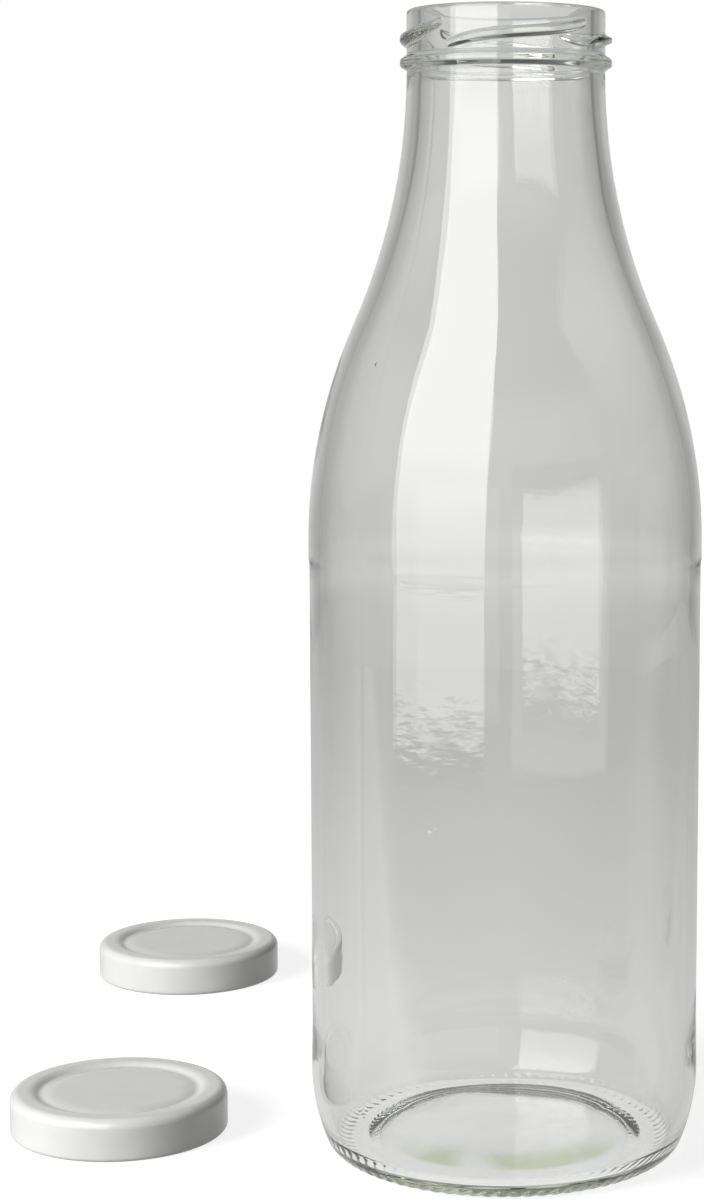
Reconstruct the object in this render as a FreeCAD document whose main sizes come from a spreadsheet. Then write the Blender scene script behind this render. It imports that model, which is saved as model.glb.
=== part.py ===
import FreeCAD, Part
import math
import os
import Sketcher

# A one-litre glass milk bottle with a four-start twist-off mouth, and its two loose lids.
# Millimetres and degrees. The origin is the middle of the bottle's base, +Z points up.

driving_sizes = [
    # The bottle's outside, from the base up.
    ("body_radius", 44.5, "straight part of the body"),
    ("straight_top", 140.4, "height where the body turns into the shoulder"),
    ("shoulder_rise", 49.4, "height of the shoulder's full curve"),
    ("neck_rise", 56.0, "height of the hollow curve above it, up to the finish"),
    ("finish_radius", 22.0, "glass under the threads and the bead"),
    ("finish_height", 12.7, "top of the hollow curve to the rim"),
    ("heel_height", 20.1, "height where the heel meets the straight body"),
    ("heel_curve", 45.9, "radius of the heel"),
    ("base_edge", 5.2, "radius between the heel and the bearing ring"),
    ("bearing_width", 4.4, "flat ring that the bottle stands on"),
    ("ramp_width", 4.0, "ramp from the bearing ring in to the dome"),
    ("ramp_height", 1.6, "foot of the pushed-up dome above the bearing ring"),
    ("dome_rise", 2.4, "dome above its foot"),
    ("panel_foot", 1.7, "heel to the lower edge of the label panel"),
    ("panel_head", 3.0, "upper edge of the label panel to the shoulder"),
    ("panel_depth", 0.3, "label panel below the body"),
    ("panel_slope", 1.5, "height of the panel's sloped upper edge"),
    ("panel_run", 9.0, "height of the slow slope at the panel's lower edge"),
    # The bottle's inside.
    ("body_wall", 2.6, "glass of the body"),
    ("finish_wall", 3.2, "glass of the mouth"),
    ("base_glass", 3.4, "glass over the middle of the dome"),
    ("heel_glass", 3.2, "glass under the lowest ring of the floor"),
    ("floor_bend", 5.0, "radius between the floor and the inner heel"),
    ("rim_edge", 0.8, "radius on both edges of the rim"),
    # The finish: a carrying bead and four thread ridges.
    ("bead_drop", 11.5, "rim to the middle of the bead"),
    ("bead_height", 2.7, "bead"),
    ("bead_proud", 1.5, "bead beyond the glass"),
    ("root_depth", 1.0, "ridge roots below the surface of the glass"),
    ("thread_count", 4, "thread ridges around the mouth"),
    ("thread_angle", -82.0, "middle of the first ridge, from +X"),
    ("thread_span", 86.0, "angle that one ridge covers"),
    ("thread_drop", 6.2, "rim to the middle of a ridge"),
    ("thread_rise", 2.5, "steady rise of a ridge over its span"),
    ("thread_end_rise", 1.2, "extra rise at each end of a ridge"),
    ("thread_proud", 1.5, "ridge beyond the glass"),
    ("thread_root", 3.4, "ridge height at the glass"),
    ("thread_crest", 1.5, "ridge height at its crest"),
    ("thread_end_proud", 0.17, "share of its reach that a ridge keeps at its ends"),
    ("thread_end_width", 0.6, "share of its height that a ridge keeps where it fades out"),
    # One lid: pressed sheet with a groove, a curled edge and four lugs.
    ("lid_height", 10.0, "curl to flange"),
    ("gauge", 0.22, "sheet"),
    ("skirt_clearance", 1.8, "thread crest to the inside of the skirt"),
    ("lid_shoulder", 2.3, "radius between flange and skirt"),
    ("panel_drop", 0.5, "centre panel below the flange"),
    ("groove_inset", 0.6, "middle of the groove inside the mouth's bore"),
    ("groove_depth", 1.0, "groove below the flange"),
    ("groove_curve", 2.0, "radius of the groove"),
    ("outer_lip", 4.0, "radius where the groove rises to the flange"),
    ("inner_lip", 12.0, "radius where the groove rises to the centre panel"),
    ("curl_radius", 1.0, "rolled edge"),
    ("lug_clearance", 0.7, "lug nose to the glass below the threads"),
    ("lug_height", 1.3, "flattened lug"),
    ("lug_rise", 0.45, "lug above the foot of the curl"),
    ("lug_span", 24.0, "angle that one lug covers"),
    ("lug_count", 4, "lugs around the lid"),
    ("seal_thickness", 1.2, "sealing ring under the flange"),
    ("seal_inset", 0.7, "mouth's bore to the inner edge of the seal"),
    ("seal_edge", 0.3, "radius on the seal's lower edges"),
    ("seal_gap", 0.1, "seal to the bend outside the flange"),
    # Where the two lids lie, beside and behind the bottle.
    ("lid_gap", 21.0, "bottle to the lids, along X"),
    ("front_lid_back", 10.0, "front lid behind the bottle's axis"),
    ("lid_spacing", 89.0, "front lid's skirt to the rear lid's skirt, along Y"),
]

document = FreeCAD.newDocument("milk_bottle")
sheet = document.addObject("Spreadsheet::Sheet", "sizes")
for row, (name, value, note) in enumerate(driving_sizes, start=1):
    sheet.set(f"A{row}", note)
    sheet.set(f"B{row}", str(value))
    sheet.setAlias(f"B{row}", name)
document.recompute()

# Heights and radii that several pieces share, as expressions on the sheet.
shoulder_top = "(sizes.straight_top + sizes.shoulder_rise)"
neck_top = f"({shoulder_top} + sizes.neck_rise)"
rim_height = f"({neck_top} + sizes.finish_height)"
contact_radius = (
    "(sizes.body_radius - sizes.heel_curve"
    " + sqrt((sizes.heel_curve - sizes.base_edge)^2 - (sizes.heel_height - sizes.base_edge)^2))"
)
dome_height = "(sizes.ramp_height + sizes.dome_rise)"
floor_height = f"({dome_height} + sizes.base_glass)"
bend_height = "(sizes.heel_glass + sizes.floor_bend)"
inner_heel = "(sizes.heel_curve - sizes.body_wall)"
panel_bottom = "(sizes.heel_height + sizes.panel_foot)"
panel_top = "(sizes.straight_top - sizes.panel_head)"
inner_radius = "(sizes.body_radius - sizes.body_wall)"
mouth_radius = "(sizes.finish_radius - sizes.finish_wall)"
root_radius = "(sizes.finish_radius - sizes.root_depth)"
lid_radius = "(sizes.finish_radius + sizes.thread_proud + sizes.skirt_clearance + sizes.gauge)"
groove_radius = f"({mouth_radius} - sizes.groove_inset)"
outer_reach = "(sizes.groove_curve + sizes.outer_lip)"
inner_reach = "(sizes.groove_curve + sizes.inner_lip)"
flange_inner = (
    f"({groove_radius} + sqrt(sizes.groove_depth * (2 * {outer_reach} - sizes.groove_depth)))"
)
flange_outer = f"({lid_radius} - sizes.lid_shoulder)"


def number(expression):
    return float(sheet.evalExpression(expression))


def line(start, end):
    edge = Part.LineSegment(FreeCAD.Vector(*start, 0), FreeCAD.Vector(*end, 0))
    return edge, 1, 2


def arc(centre, radius, from_angle, to_angle):
    circle = Part.Circle(FreeCAD.Vector(*centre, 0), FreeCAD.Vector(0, 0, 1), radius)
    if to_angle > from_angle:
        return Part.ArcOfCircle(circle, math.radians(from_angle), math.radians(to_angle)), 1, 2
    return Part.ArcOfCircle(circle, math.radians(to_angle), math.radians(from_angle)), 2, 1


def direction(start, end):
    return math.degrees(math.atan2(end[1] - start[1], end[0] - start[0]))


def origin_feature(body, role):
    return next(item for item in body.Origin.OriginFeatures if item.Role == role)


def half_plane_sketch(body, name, turn=None):
    # A sketch in the plane through the axis: x is the radius and y the height.
    sketch = body.newObject("Sketcher::SketchObject", name)
    sketch.AttachmentSupport = (origin_feature(body, "XZ_Plane"), "")
    sketch.MapMode = "FlatFace"
    if turn:
        upwards = FreeCAD.Rotation(FreeCAD.Vector(0, 1, 0), number(turn))
        sketch.AttachmentOffset = FreeCAD.Placement(FreeCAD.Vector(), upwards)
        sketch.setExpression("AttachmentOffset.Rotation.Angle", turn)
    return sketch


def draw_loop(sketch, edges, corners):
    # Joins each edge to the next one, smoothly unless it ends in a corner.
    for edge, first, last in edges:
        sketch.addGeometry(edge)
    for place, (edge, first, last) in enumerate(edges):
        following = (place + 1) % len(edges)
        kind = "Coincident" if place in corners else "Tangent"
        join = Sketcher.Constraint(kind, place, last, following, edges[following][1])
        sketch.addConstraint(join)


def align(sketch, kind, *edges):
    for edge in edges:
        sketch.addConstraint(Sketcher.Constraint(kind, edge))


def dimension(sketch, kind, place, expression):
    index = sketch.addConstraint(Sketcher.Constraint(kind, *place, number(expression)))
    sketch.setExpression(f"Constraints[{index}]", expression)


def radius_at(sketch, edge, point, expression):
    dimension(sketch, "DistanceX", (-1, 1, edge, point), expression)


def height_at(sketch, edge, point, expression):
    dimension(sketch, "DistanceY", (-1, 1, edge, point), expression)


def curve_radius(sketch, edge, expression):
    dimension(sketch, "Radius", (edge,), expression)


def on_axis(sketch, edge, point):
    sketch.addConstraint(Sketcher.Constraint("PointOnObject", edge, point, -2))


def polygon(sketch, corners):
    # A closed outline with straight sides; each corner is a radius and a height expression.
    points = [(number(radius), number(height)) for radius, height in corners]
    edges = [line(points[k], points[(k + 1) % len(points)]) for k in range(len(points))]
    draw_loop(sketch, edges, range(len(points)))
    for k, (radius, height) in enumerate(corners):
        radius_at(sketch, k, 1, radius)
        height_at(sketch, k, 1, height)


def revolve(body, kind, name, sketch, angle="360"):
    before = 0 if body.Shape.isNull() else body.Shape.Volume
    feature = body.newObject(f"PartDesign::{kind}", name)
    feature.Profile = sketch
    feature.ReferenceAxis = (sketch, ["V_Axis"])
    feature.setExpression("Angle", angle)
    feature.Midplane = True
    document.recompute()
    grew = body.Shape.Volume > before
    if grew != (kind == "Revolution"):
        raise RuntimeError(f"{name} doesn't change the solid as it should")
    return feature


def around_axis(body, name, feature, count):
    pattern = body.newObject("PartDesign::PolarPattern", name)
    pattern.Originals = [feature]
    pattern.Axis = (origin_feature(body, "Z_Axis"), [""])
    pattern.Angle = 360
    pattern.setExpression("Occurrences", count)
    body.Tip = pattern
    document.recompute()


def shoulder_edges(wide, narrow):
    # A full curve and a hollow curve over it; where they meet, both lean by the same angle.
    low, high = number("sizes.straight_top"), number(neck_top)
    lean = 2 * math.atan2(wide - narrow, high - low)
    full = number("sizes.shoulder_rise") / math.sin(lean)
    hollow = number("sizes.neck_rise") / math.sin(lean)
    lean = math.degrees(lean)
    return [
        arc((wide - full, low), full, 0, lean),
        arc((narrow + hollow, high), hollow, lean + 180, 180),
    ]


def draw_outside(sketch):
    wide, narrow = number("sizes.body_radius"), number("sizes.finish_radius")
    low, high, rim = number("sizes.straight_top"), number(neck_top), number(rim_height)
    heel, heel_top = number("sizes.heel_curve"), number("sizes.heel_height")
    edge, rim_edge = number("sizes.base_edge"), number("sizes.rim_edge")
    heel_centre = (wide - heel, heel_top)
    contact = number(contact_radius)
    turn = direction(heel_centre, (contact, edge))
    edges = [
        line((0, 0), (contact, 0)),
        arc((contact, edge), edge, -90, turn),
        arc(heel_centre, heel, turn, 0),
        line((wide, heel_top), (wide, low)),
        *shoulder_edges(wide, narrow),
        line((narrow, high), (narrow, rim - rim_edge)),
        arc((narrow - rim_edge, rim - rim_edge), rim_edge, 0, 90),
        line((narrow - rim_edge, rim), (0, rim)),
        line((0, rim), (0, 0)),
    ]
    base, foot, curve, side, full, hollow, neck, corner, top, axis = range(len(edges))
    draw_loop(sketch, edges, (top, axis))
    align(sketch, "Horizontal", base, top)
    align(sketch, "Vertical", side, neck, axis)
    sketch.addConstraint(Sketcher.Constraint("Coincident", base, 1, -1, 1))
    curve_radius(sketch, foot, "sizes.base_edge")
    curve_radius(sketch, curve, "sizes.heel_curve")
    radius_at(sketch, side, 1, "sizes.body_radius")
    height_at(sketch, side, 1, "sizes.heel_height")
    height_at(sketch, side, 2, "sizes.straight_top")
    height_at(sketch, full, 2, shoulder_top)
    radius_at(sketch, neck, 1, "sizes.finish_radius")
    height_at(sketch, neck, 1, neck_top)
    curve_radius(sketch, corner, "sizes.rim_edge")
    height_at(sketch, top, 1, rim_height)


def draw_inside(sketch):
    wide, narrow = number(inner_radius), number(mouth_radius)
    low, high, rim = number("sizes.straight_top"), number(neck_top), number(rim_height)
    heel, heel_top = number(inner_heel), number("sizes.heel_height")
    floor, bend = number(floor_height), number("sizes.floor_bend")
    rim_edge = number("sizes.rim_edge")
    # The inner heel keeps the thickness of the wall, and a bend joins it to the floor.
    heel_centre = (wide - heel, heel_top)
    drop = heel_top - number(bend_height)
    centre = (heel_centre[0] + math.sqrt((heel - bend)**2 - drop**2), heel_top - drop)
    turn = direction(heel_centre, centre)
    # The floor falls from the middle and runs smoothly into the bend.
    distance = math.hypot(centre[0], centre[1] - floor)
    fall = direction((0, floor), centre) - math.degrees(math.asin(bend / distance))
    run = math.sqrt(distance**2 - bend**2)
    touch = (run * math.cos(math.radians(fall)), floor + run * math.sin(math.radians(fall)))
    edges = [
        line((0, floor), touch),
        arc(centre, bend, direction(centre, touch), turn),
        arc(heel_centre, heel, turn, 0),
        line((wide, heel_top), (wide, low)),
        *shoulder_edges(wide, narrow),
        line((narrow, high), (narrow, rim - rim_edge)),
        arc((narrow + rim_edge, rim - rim_edge), rim_edge, 180, 90),
        line((narrow + rim_edge, rim), (0, rim)),
        line((0, rim), (0, floor)),
    ]
    base, foot, curve, side, full, hollow, bore, corner, top, axis = range(len(edges))
    draw_loop(sketch, edges, (top, axis))
    align(sketch, "Horizontal", top)
    align(sketch, "Vertical", side, bore, axis)
    on_axis(sketch, axis, 1)
    height_at(sketch, base, 1, floor_height)
    curve_radius(sketch, foot, "sizes.floor_bend")
    height_at(sketch, foot, 3, bend_height)
    curve_radius(sketch, curve, inner_heel)
    radius_at(sketch, side, 1, inner_radius)
    height_at(sketch, side, 1, "sizes.heel_height")
    height_at(sketch, side, 2, "sizes.straight_top")
    height_at(sketch, full, 2, shoulder_top)
    radius_at(sketch, bore, 1, mouth_radius)
    height_at(sketch, bore, 1, neck_top)
    curve_radius(sketch, corner, "sizes.rim_edge")
    height_at(sketch, top, 1, rim_height)


def draw_push_up(sketch):
    # The ramp inside the bearing ring, and a shallow dome over it.
    bearing_inner = f"({contact_radius} - sizes.bearing_width)"
    dome_radius = f"({bearing_inner} - sizes.ramp_width)"
    ring, step = number(bearing_inner), number(dome_radius)
    ramp, rise = number("sizes.ramp_height"), number("sizes.dome_rise")
    dome = (rise**2 + step**2) / (2 * rise)
    centre = (0, ramp + rise - dome)
    edges = [
        line((0, 0), (ring, 0)),
        line((ring, 0), (step, ramp)),
        arc(centre, dome, direction(centre, (step, ramp)), 90),
        line((0, ramp + rise), (0, 0)),
    ]
    base, slope, cap, axis = range(len(edges))
    draw_loop(sketch, edges, range(len(edges)))
    align(sketch, "Horizontal", base)
    align(sketch, "Vertical", axis)
    sketch.addConstraint(Sketcher.Constraint("Coincident", base, 1, -1, 1))
    on_axis(sketch, cap, 3)
    radius_at(sketch, slope, 1, bearing_inner)
    radius_at(sketch, slope, 2, dome_radius)
    height_at(sketch, slope, 2, "sizes.ramp_height")
    height_at(sketch, axis, 1, dome_height)


def draw_bead(sketch):
    # A half-round band whose flat sides reach into the glass.
    middle = f"({rim_height} - sizes.bead_drop)"
    nose = "(sizes.finish_radius + sizes.bead_proud - sizes.bead_height / 2)"
    root, half = number(root_radius), number("sizes.bead_height") / 2
    centre = (number(nose), number(middle))
    low, high = centre[1] - half, centre[1] + half
    edges = [
        line((root, low), (centre[0], low)),
        arc(centre, half, -90, 90),
        line((centre[0], high), (root, high)),
        line((root, high), (root, low)),
    ]
    under, nose_arc, over, back = range(len(edges))
    draw_loop(sketch, edges, (over, back))
    align(sketch, "Horizontal", under, over)
    align(sketch, "Vertical", back)
    curve_radius(sketch, nose_arc, "sizes.bead_height / 2")
    radius_at(sketch, nose_arc, 3, nose)
    height_at(sketch, nose_arc, 3, middle)
    radius_at(sketch, back, 1, root_radius)


def draw_ridge_section(body, place, share):
    # One cut through a thread ridge; share runs from -1 at its low end to 1 at its high end.
    turn = f"sizes.thread_angle + sizes.thread_span / 2 * ({share:.5f})"
    middle = (
        f"{rim_height} - sizes.thread_drop + sizes.thread_rise / 2 * ({share:.5f})"
        f" + sizes.thread_end_rise * ({share**3:.5f})"
    )
    fade = f"sqrt(1 - (1 - sizes.thread_end_proud^2) * {share**4:.5f})"
    slim = f"(sizes.thread_end_width + (1 - sizes.thread_end_width) * {fade})"
    crest = f"sizes.finish_radius + sizes.thread_proud * {fade}"
    root_half = f"sizes.thread_root / 2 * {slim}"
    crest_half = f"sizes.thread_crest / 2 * {slim}"
    sketch = half_plane_sketch(body, f"ridge_section_{place}", turn)
    polygon(
        sketch,
        [
            (root_radius, f"{middle} - {root_half}"),
            (crest, f"{middle} - {crest_half}"),
            (crest, f"{middle} + {crest_half}"),
            (root_radius, f"{middle} + {root_half}"),
        ],
    )
    return sketch


def add_threads(body):
    # Each ridge is steep at both ends and nearly level between, where a lug locks under it.
    section_count = 11
    shares = [-math.cos(math.pi * k / (section_count - 1)) for k in range(section_count)]
    sections = [draw_ridge_section(body, place, share) for place, share in enumerate(shares)]
    document.recompute()
    ridge = body.newObject("PartDesign::AdditiveLoft", "thread_ridge")
    ridge.Profile = sections[0]
    ridge.Sections = sections[1:]
    document.recompute()
    around_axis(body, "thread_ridges", ridge, "sizes.thread_count")


def make_bottle():
    body = document.addObject("PartDesign::Body", "bottle")
    outside = half_plane_sketch(body, "bottle_outside")
    draw_outside(outside)
    revolve(body, "Revolution", "bottle_blank", outside)
    panel = half_plane_sketch(body, "label_panel_outline")
    outer = "(sizes.body_radius + sizes.panel_depth)"
    recess = "(sizes.body_radius - sizes.panel_depth)"
    polygon(
        panel,
        [
            (recess, f"{panel_bottom} + sizes.panel_run"),
            ("sizes.body_radius", panel_bottom),
            (outer, panel_bottom),
            (outer, panel_top),
            ("sizes.body_radius", panel_top),
            (recess, f"{panel_top} - sizes.panel_slope"),
        ],
    )
    revolve(body, "Groove", "label_panel", panel)
    bead = half_plane_sketch(body, "bead_outline")
    draw_bead(bead)
    revolve(body, "Revolution", "bead", bead)
    add_threads(body)
    inside = half_plane_sketch(body, "bottle_inside")
    draw_inside(inside)
    revolve(body, "Groove", "hollow", inside)
    push_up = half_plane_sketch(body, "push_up_outline")
    draw_push_up(push_up)
    revolve(body, "Groove", "push_up", push_up)
    return body


def lid_top_edges(offset, panel, groove, flange, height):
    # Flange, lip, groove, lip and centre panel, seen from the flange inwards, for one face of the sheet.
    curve, outer, inner = (number(f"sizes.{name}") for name in ("groove_curve", "outer_lip", "inner_lip"))
    inner_lip = (panel, height - number("sizes.panel_drop") - inner)
    outer_lip = (flange, height - outer)
    middle = (groove, height - number("sizes.groove_depth") + curve)
    inwards = direction(middle, inner_lip)
    outwards = direction(middle, outer_lip)
    return [
        arc(outer_lip, outer - offset, 90, outwards + 180),
        arc(middle, curve + offset, outwards + 360, inwards % 360),
        arc(inner_lip, inner - offset, inwards % 360 - 180, 90),
    ]


def draw_lid_sheet(sketch):
    # The sheet's outer face from the axis to the curl, and its inner face back to the axis.
    height, gauge = number("sizes.lid_height"), number("sizes.gauge")
    skirt, bend, curl = number(lid_radius), number("sizes.lid_shoulder"), number("sizes.curl_radius")
    groove, flange = number(groove_radius), number(flange_inner)
    drop, depth = number("sizes.panel_drop"), number("sizes.groove_depth")
    panel = groove - math.sqrt((depth - drop) * (2 * number(inner_reach) - depth + drop))
    bend_centre = (skirt - bend, height - bend)
    curl_centre = (skirt - curl, curl)
    face = lid_top_edges(0, panel, groove, flange, height)
    back = lid_top_edges(gauge, panel, groove, flange, height)
    outwards = [(edge, last, first) for edge, first, last in reversed(face)]
    edges = [
        line((0, height - drop), (panel, height - drop)),
        *outwards,
        line((flange, height), (skirt - bend, height)),
        arc(bend_centre, bend, 90, 0),
        line((skirt, height - bend), (skirt, curl)),
        arc(curl_centre, curl, 0, -270),
        line((skirt - curl, 2 * curl), (skirt - curl, 2 * curl - gauge)),
        arc(curl_centre, curl - gauge, -270, 0),
        line((skirt - gauge, curl), (skirt - gauge, height - bend)),
        arc(bend_centre, bend - gauge, 0, 90),
        line((skirt - bend, height - gauge), (flange, height - gauge)),
        *back,
        line((panel, height - drop - gauge), (0, height - drop - gauge)),
        line((0, height - drop - gauge), (0, height - drop)),
    ]
    (panel_top, lip_in, dip, lip_out, flange_top, shoulder, skirt_out, roll, tip, roll_in, skirt_in,
     shoulder_in, flange_low, lip_out_low, dip_low, lip_in_low, panel_low, axis) = range(len(edges))
    draw_loop(sketch, edges, (roll, tip, panel_low, axis))
    align(sketch, "Horizontal", panel_top, flange_top, flange_low, panel_low)
    align(sketch, "Vertical", skirt_out, skirt_in, tip)
    on_axis(sketch, axis, 1)
    on_axis(sketch, axis, 2)
    for low, high in ((dip_low, dip), (roll_in, roll)):
        sketch.addConstraint(Sketcher.Constraint("Coincident", low, 3, high, 3))
    sketch.addConstraint(Sketcher.Constraint("PointOnObject", roll, 3, tip))
    height_at(sketch, panel_top, 1, "sizes.lid_height - sizes.panel_drop")
    height_at(sketch, panel_low, 1, "sizes.lid_height - sizes.panel_drop - sizes.gauge")
    height_at(sketch, flange_top, 1, "sizes.lid_height")
    height_at(sketch, flange_low, 1, "sizes.lid_height - sizes.gauge")
    radius_at(sketch, dip, 3, groove_radius)
    height_at(sketch, dip, 3, "sizes.lid_height - sizes.groove_depth + sizes.groove_curve")
    radius_at(sketch, skirt_out, 1, lid_radius)
    height_at(sketch, roll, 3, "sizes.curl_radius")
    curve_radius(sketch, dip, "sizes.groove_curve")
    curve_radius(sketch, dip_low, "sizes.groove_curve + sizes.gauge")
    curve_radius(sketch, shoulder, "sizes.lid_shoulder")
    curve_radius(sketch, shoulder_in, "sizes.lid_shoulder - sizes.gauge")
    curve_radius(sketch, roll, "sizes.curl_radius")
    curve_radius(sketch, roll_in, "sizes.curl_radius - sizes.gauge")
    for lip, lip_low, size in ((lip_in, lip_in_low, "inner_lip"), (lip_out, lip_out_low, "outer_lip")):
        curve_radius(sketch, lip, f"sizes.{size}")
        curve_radius(sketch, lip_low, f"sizes.{size} - sizes.gauge")


def draw_lug(sketch):
    # The curl pressed flat and inwards, with a round nose that grips under a thread ridge.
    half = number("sizes.lug_height") / 2
    nose = "sizes.finish_radius + sizes.lug_clearance + sizes.lug_height / 2"
    middle = "sizes.lug_rise + sizes.lug_height / 2"
    root = f"{lid_radius} - sizes.curl_radius"
    centre = (number(nose), number(middle))
    back = number(root)
    low, high = centre[1] - half, centre[1] + half
    edges = [
        line((back, high), (centre[0], high)),
        arc(centre, half, 90, 270),
        line((centre[0], low), (back, low)),
        line((back, low), (back, high)),
    ]
    over, nose_arc, under, inside = range(len(edges))
    draw_loop(sketch, edges, (under, inside))
    align(sketch, "Horizontal", over, under)
    align(sketch, "Vertical", inside)
    curve_radius(sketch, nose_arc, "sizes.lug_height / 2")
    radius_at(sketch, nose_arc, 3, nose)
    height_at(sketch, nose_arc, 3, middle)
    radius_at(sketch, inside, 1, root)


def draw_seal(sketch):
    # A ring that fills the channel under the flange and its lip, with rounded lower edges.
    inner, outer = f"({mouth_radius} + sizes.seal_inset)", f"({flange_outer} - sizes.seal_gap)"
    top = "sizes.lid_height - sizes.gauge"
    bottom = f"{top} - sizes.seal_thickness"
    lip_radius = "sizes.outer_lip - sizes.gauge"
    near, far, flange = number(inner), number(outer), number(flange_inner)
    high, low, edge = number(top), number(bottom), number("sizes.seal_edge")
    lip = number(lip_radius)
    lip_centre = (flange, high - lip)
    turn = math.degrees(math.acos((near - flange) / lip))
    inner_top = high - lip + lip * math.sin(math.radians(turn))
    edges = [
        line((near, inner_top), (near, low + edge)),
        arc((near + edge, low + edge), edge, 180, 270),
        line((near + edge, low), (far - edge, low)),
        arc((far - edge, low + edge), edge, -90, 0),
        line((far, low + edge), (far, high)),
        line((far, high), (flange, high)),
        arc(lip_centre, lip, 90, turn),
    ]
    inner_side, inner_edge, under, outer_edge, outer_side, over, bend = range(len(edges))
    draw_loop(sketch, edges, (outer_side, bend))
    align(sketch, "Horizontal", under, over)
    align(sketch, "Vertical", inner_side, outer_side)
    curve_radius(sketch, inner_edge, "sizes.seal_edge")
    curve_radius(sketch, outer_edge, "sizes.seal_edge")
    curve_radius(sketch, bend, lip_radius)
    radius_at(sketch, bend, 3, flange_inner)
    radius_at(sketch, inner_side, 1, inner)
    radius_at(sketch, outer_side, 1, outer)
    height_at(sketch, over, 1, top)
    height_at(sketch, under, 1, bottom)


def make_lid(name, across, behind):
    shell = document.addObject("PartDesign::Body", f"{name}_shell")
    sheet_outline = half_plane_sketch(shell, f"{name}_sheet")
    draw_lid_sheet(sheet_outline)
    revolve(shell, "Revolution", f"{name}_pressing", sheet_outline)
    lug_outline = half_plane_sketch(shell, f"{name}_lug_outline")
    draw_lug(lug_outline)
    lug = revolve(shell, "Revolution", f"{name}_lug", lug_outline, "sizes.lug_span")
    around_axis(shell, f"{name}_lugs", lug, "sizes.lug_count")
    seal = document.addObject("PartDesign::Body", f"{name}_seal")
    seal_outline = half_plane_sketch(seal, f"{name}_seal_outline")
    draw_seal(seal_outline)
    revolve(seal, "Revolution", f"{name}_seal_ring", seal_outline)
    for body in (shell, seal):
        body.setExpression("Placement.Base.x", across)
        body.setExpression("Placement.Base.y", behind)
    return [shell, seal]


beside = f"-(sizes.body_radius + sizes.lid_gap + {lid_radius})"
front_place = "sizes.front_lid_back"
rear_place = f"sizes.front_lid_back + 2 * {lid_radius} + sizes.lid_spacing"
pieces = [
    make_bottle(),
    *make_lid("rear_lid", beside, rear_place),
    *make_lid("front_lid", beside, front_place),
]
document.recompute()

for item in document.Objects:
    if {"Invalid", "Error"} & set(item.State):
        raise RuntimeError(f"{item.Name} failed: {item.State}")
os.makedirs("parts", exist_ok=True)
for piece in pieces:
    shape = piece.Shape
    if shape.isNull() or not shape.isValid() or len(shape.Solids) != 1:
        raise RuntimeError(f"{piece.Label} isn't one valid solid")
    print(piece.Label, round(shape.Volume), "mm3")
for piece in pieces:
    piece.Shape.exportStep(f"parts/{piece.Label}.step")
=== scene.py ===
import math

import bpy
import numpy as np
from mathutils import Matrix


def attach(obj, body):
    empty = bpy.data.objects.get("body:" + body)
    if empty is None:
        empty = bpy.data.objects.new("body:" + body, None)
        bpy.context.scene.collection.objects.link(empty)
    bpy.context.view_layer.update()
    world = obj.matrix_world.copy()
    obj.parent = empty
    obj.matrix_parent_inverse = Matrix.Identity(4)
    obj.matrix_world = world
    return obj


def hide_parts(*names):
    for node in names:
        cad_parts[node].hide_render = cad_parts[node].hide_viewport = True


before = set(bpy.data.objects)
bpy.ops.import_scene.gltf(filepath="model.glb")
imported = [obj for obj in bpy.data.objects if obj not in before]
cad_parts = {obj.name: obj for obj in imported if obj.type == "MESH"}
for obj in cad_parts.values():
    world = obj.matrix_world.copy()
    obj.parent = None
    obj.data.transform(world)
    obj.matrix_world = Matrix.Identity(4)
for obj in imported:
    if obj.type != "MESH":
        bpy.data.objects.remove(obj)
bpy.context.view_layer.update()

mm = 0.001
tau = 2 * math.pi
noTriangles = np.zeros((0, 3), int)


# points on a circle: centre + radius * (cos, sin), at equal steps of the angle in degrees
def arcRun(centre, radius, fromAngle, toAngle, count):
    angle = np.radians(np.linspace(fromAngle, toAngle, count))
    return np.stack([centre[0] + radius * np.cos(angle), centre[1] + radius * np.sin(angle)], -1)


# points on a straight line, at equal steps
def lineRun(start, end, count):
    share = np.linspace(0, 1, count)[:, None]
    return np.array(start, float) * (1 - share) + np.array(end, float) * share


# runs put end to end, each later one without its first point
def joinRuns(*runs):
    return np.concatenate([runs[0]] + [run[1:] for run in runs[1:]])


# 0 below low, 1 above high, and an S-shaped cubic between
def easeStep(low, high, value):
    share = np.clip((value - low) / (high - low), 0, 1)
    return share * share * (3 - 2 * share)


# 1 up to flat, then half a cosine wave down to 0 at 1
def blunted(flat, value):
    return 0.5 + 0.5 * np.cos(math.pi * np.clip((value - flat) / (1 - flat), 0, 1))


# the mean of sines of turns * angle + 2 pi height / pitch, with seeded turns, pitches and shifts
def unevenWaves(angle, height, seed, waves, longest, most):
    draw = np.random.default_rng(seed)
    total = np.zeros(np.broadcast(angle, height).shape)
    for turns in draw.integers(1, most, waves):
        pitch = longest * draw.uniform(0.25, 1.0)  # from a quarter of the longest
        lean = draw.choice([-1, 1])
        shift = draw.uniform(0, tau)
        total = total + np.sin(turns * angle + lean * tau * height / pitch + shift)
    return total / waves


# radius, height and angle at each point of an outline and each column round the axis
def spinOutline(outline, columns):
    angle = np.arange(columns) * tau / columns
    return (np.repeat(outline[:, :1], columns, 1), np.repeat(outline[:, 1:], columns, 1),
            np.repeat(angle[None], len(outline), 0))


# rings about an upright axis at place, in metres: x = r cos a, y = r sin a, z = h
def turned(radius, height, angle, place=(0, 0)):
    return np.stack([place[0] + radius * np.cos(angle), place[1] + radius * np.sin(angle), height], -1) * mm


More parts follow.
